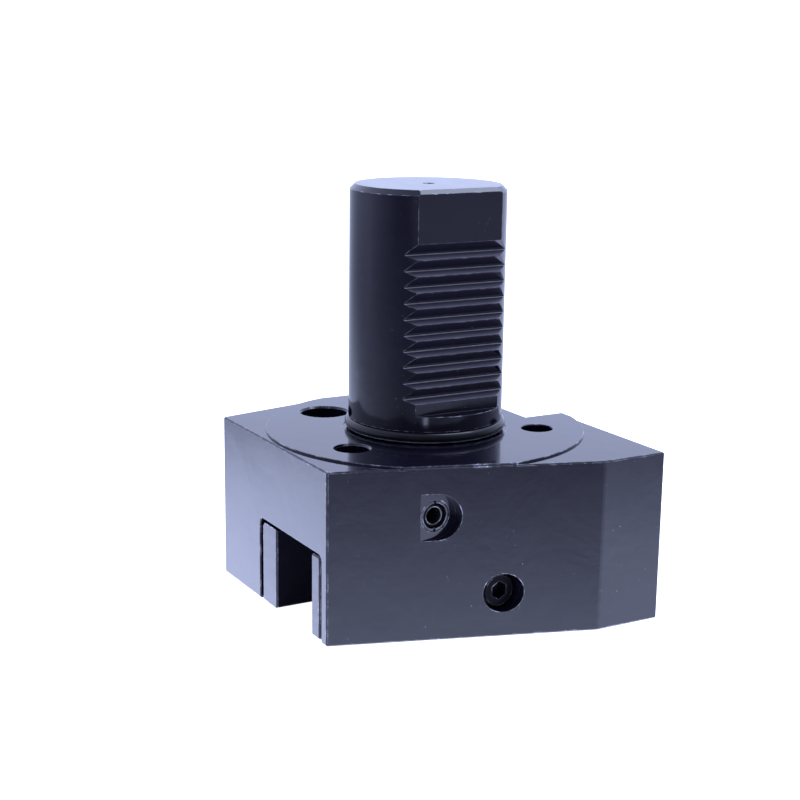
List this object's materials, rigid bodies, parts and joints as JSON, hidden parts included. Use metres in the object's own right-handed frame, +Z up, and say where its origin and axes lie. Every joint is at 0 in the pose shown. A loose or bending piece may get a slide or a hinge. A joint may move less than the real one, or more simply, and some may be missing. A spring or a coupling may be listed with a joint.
{
  "type": "serrated shank turning toolholder",
  "caption": "Turret turning toolholder: round serrated shank with flat and seal ring on a flanged block, side slot with clamping bar, set screws and aimable coolant nozzle.",
  "frame": {"origin": "shank axis at the flange seating face", "axes": "+Z up along the shank away from the block, +X along the tool slot away from the cutting end, +Y towards the thick clamping leg"},
  "size_m": [0.0831, 0.089, 0.107],
  "materials": {
    "black_oxide_steel": "glossy oiled black oxide",
    "black_oxide_bar": "satin black oxide, ground faces",
    "black_screw_steel": "black oxide screws",
    "nozzle_steel": "polished dark steel",
    "seat_polymer": "matt",
    "spring_steel": "drawn wire",
    "zinc_washer": "bright zinc",
    "ground_pin_steel": "ground",
    "black_rubber": "semi-gloss oiled rubber"
  },
  "bodies": {
    "holder": {"holder_body": "black_oxide_steel", "shank_seal_ring": "black_rubber", "seat_plate": "black_oxide_bar", "seat_plate_screw": "black_screw_steel", "seat_dowel_left": "ground_pin_steel", "seat_dowel_right": "ground_pin_steel", "nozzle_retaining_ring": "nozzle_steel", "nozzle_seat_ring": "seat_polymer", "return_spring_left": "spring_steel", "return_spring_right": "spring_steel"},
    "clamp_bar": {"clamp_bar": "black_oxide_bar", "return_screw_left": "black_screw_steel", "return_screw_right": "black_screw_steel", "return_washer_left": "zinc_washer", "return_washer_right": "zinc_washer"},
    "clamp_screw_left": {"clamp_screw_left": "black_screw_steel"},
    "clamp_screw_centre": {"clamp_screw_centre": "black_screw_steel"},
    "clamp_screw_right": {"clamp_screw_right": "black_screw_steel"},
    "nozzle_ball": {"coolant_nozzle_ball": "nozzle_steel"}
  },
  "joints": [
    {"name": "clamp_bar_slide", "type": "slide", "parent": "holder", "child": "clamp_bar", "axis": [0, -1, 0], "range_m": [-0.00146, 0.004], "deforming": ["return_spring_left", "return_spring_right"]},
    {"name": "clamp_screw_centre_turn", "type": "hinge", "parent": "clamp_bar", "child": "clamp_screw_centre", "pos_m": [-0.007, 0.009, -0.033], "axis": [0, -1, 0], "range_deg": [-302, 826]},
    {"name": "clamp_screw_left_turn", "type": "hinge", "parent": "clamp_bar", "child": "clamp_screw_left", "pos_m": [-0.031, 0.009, -0.033], "axis": [0, -1, 0], "range_deg": [-302, 826]},
    {"name": "clamp_screw_right_turn", "type": "hinge", "parent": "clamp_bar", "child": "clamp_screw_right", "pos_m": [0.017, 0.009, -0.033], "axis": [0, -1, 0], "range_deg": [-302, 826]},
    {"name": "nozzle_ball_sweep", "type": "hinge", "parent": "holder", "child": "nozzle_ball", "pos_m": [-0.017, -0.03107, -0.0128], "axis": [0, 0, 1], "range_deg": [-15, 15]}
  ],
  "couplings": [
    {"joint": "clamp_screw_left_turn", "follows": "clamp_bar_slide", "rad_per_m": 3590.4},
    {"joint": "clamp_screw_centre_turn", "follows": "clamp_bar_slide", "rad_per_m": 3590.4},
    {"joint": "clamp_screw_right_turn", "follows": "clamp_bar_slide", "rad_per_m": 3590.4}
  ]
}
